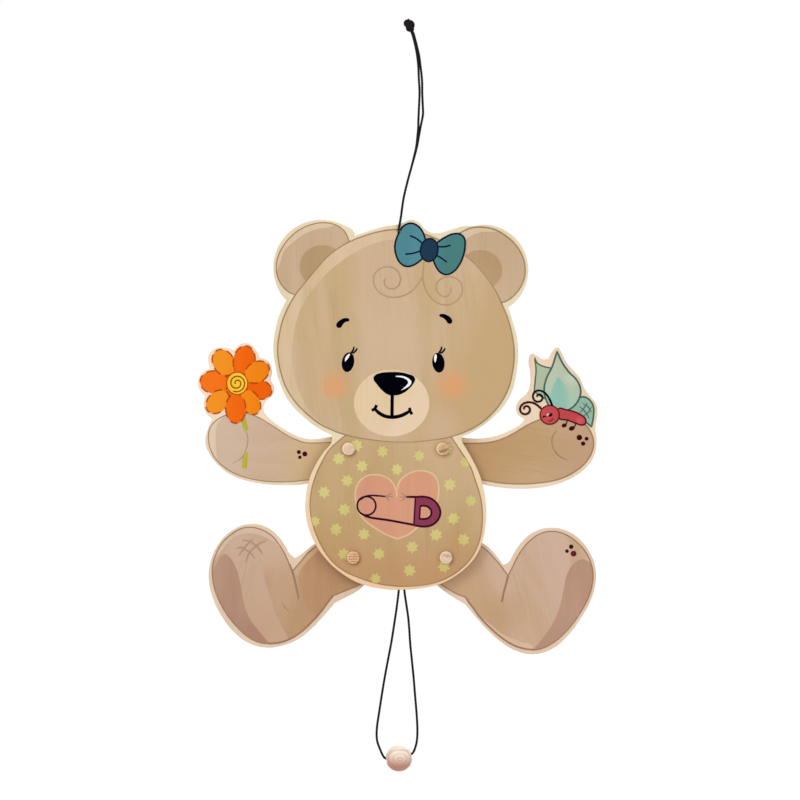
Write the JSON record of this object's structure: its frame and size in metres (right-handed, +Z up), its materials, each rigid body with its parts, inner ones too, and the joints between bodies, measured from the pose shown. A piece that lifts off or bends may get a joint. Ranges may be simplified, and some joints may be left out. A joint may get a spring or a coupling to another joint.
{
  "type": "jumping jack toy",
  "caption": "Flat wooden bear that hangs from a cord. Pulling the bead below it turns levers behind its body and throws its arms and legs up.",
  "frame": {"origin": "the place under the top knot of the hanging cord where it hangs from its nail", "axes": "+Z up, +X to the viewer's right, the bear's printed front faces -Y"},
  "size_m": [0.2402, 0.0168, 0.4523],
  "materials": {
    "printed_board": "satin varnish over a printed picture",
    "printed_limbs": "satin varnish over a printed picture",
    "turned_wood": "plain sanded",
    "bead_wood": "plain polished",
    "cord": "round braided cord"
  },
  "bodies": {
    "board": {"front_board": "printed_board", "left_arm_peg": "turned_wood", "right_arm_peg": "turned_wood", "left_leg_peg": "turned_wood", "right_leg_peg": "turned_wood", "left_arm_washer": "turned_wood", "right_arm_washer": "turned_wood", "left_leg_washer": "turned_wood", "right_leg_washer": "turned_wood", "left_arm_cap": "turned_wood", "right_arm_cap": "turned_wood", "left_leg_cap": "turned_wood", "right_leg_cap": "turned_wood", "hanging_loop": "cord", "hanging_knot": "cord"},
    "left_arm": {"left_arm": "printed_limbs"},
    "right_arm": {"right_arm": "printed_limbs"},
    "left_leg": {"left_leg": "printed_limbs"},
    "right_leg": {"right_leg": "printed_limbs"},
    "pull": {"left_arm_string": "cord", "right_arm_string": "cord", "left_leg_string": "cord", "right_leg_string": "cord", "left_arm_tie_knot": "cord", "right_arm_tie_knot": "cord", "left_leg_tie_knot": "cord", "right_leg_tie_knot": "cord", "arm_string_knot": "cord", "leg_string_knot": "cord", "gather_knot": "cord", "pull_string_upper": "cord", "pull_string_lower": "cord", "pull_loop": "cord"},
    "bead": {"pull_bead": "bead_wood"}
  },
  "joints": [
    {"name": "left_leg_swing", "type": "hinge", "parent": "board", "child": "left_leg", "pos_m": [-0.03555, 0.0066, -0.315], "axis": [0, 1, 0], "range_deg": [0, 45]},
    {"name": "right_leg_swing", "type": "hinge", "parent": "board", "child": "right_leg", "pos_m": [0.02015, 0.0066, -0.315], "axis": [0, -1, 0], "range_deg": [0, 45]},
    {"name": "left_arm_swing", "type": "hinge", "parent": "board", "child": "left_arm", "pos_m": [-0.03835, 0.0066, -0.2498], "axis": [0, 1, 0], "range_deg": [0, 45]},
    {"name": "right_arm_swing", "type": "hinge", "parent": "board", "child": "right_arm", "pos_m": [0.01815, 0.0066, -0.2498], "axis": [0, -1, 0], "range_deg": [0, 45]},
    {"name": "pull_slide", "type": "slide", "parent": "board", "child": "pull", "axis": [0, 0, -1], "range_m": [0, 0.0092]},
    {"name": "bead_spin", "type": "hinge", "parent": "pull", "child": "bead", "pos_m": [-0.0081, 0.0033, -0.4358], "axis": [0.9848, 0, 0.1736], "continuous": true}
  ],
  "couplings": [
    {"joint": "right_leg_swing", "follows": "left_leg_swing", "ratio": 1},
    {"joint": "left_arm_swing", "follows": "left_leg_swing", "ratio": 1},
    {"joint": "right_arm_swing", "follows": "left_leg_swing", "ratio": 1},
    {"joint": "pull_slide", "follows": "left_leg_swing", "m_per_rad": 0.011594}
  ]
}
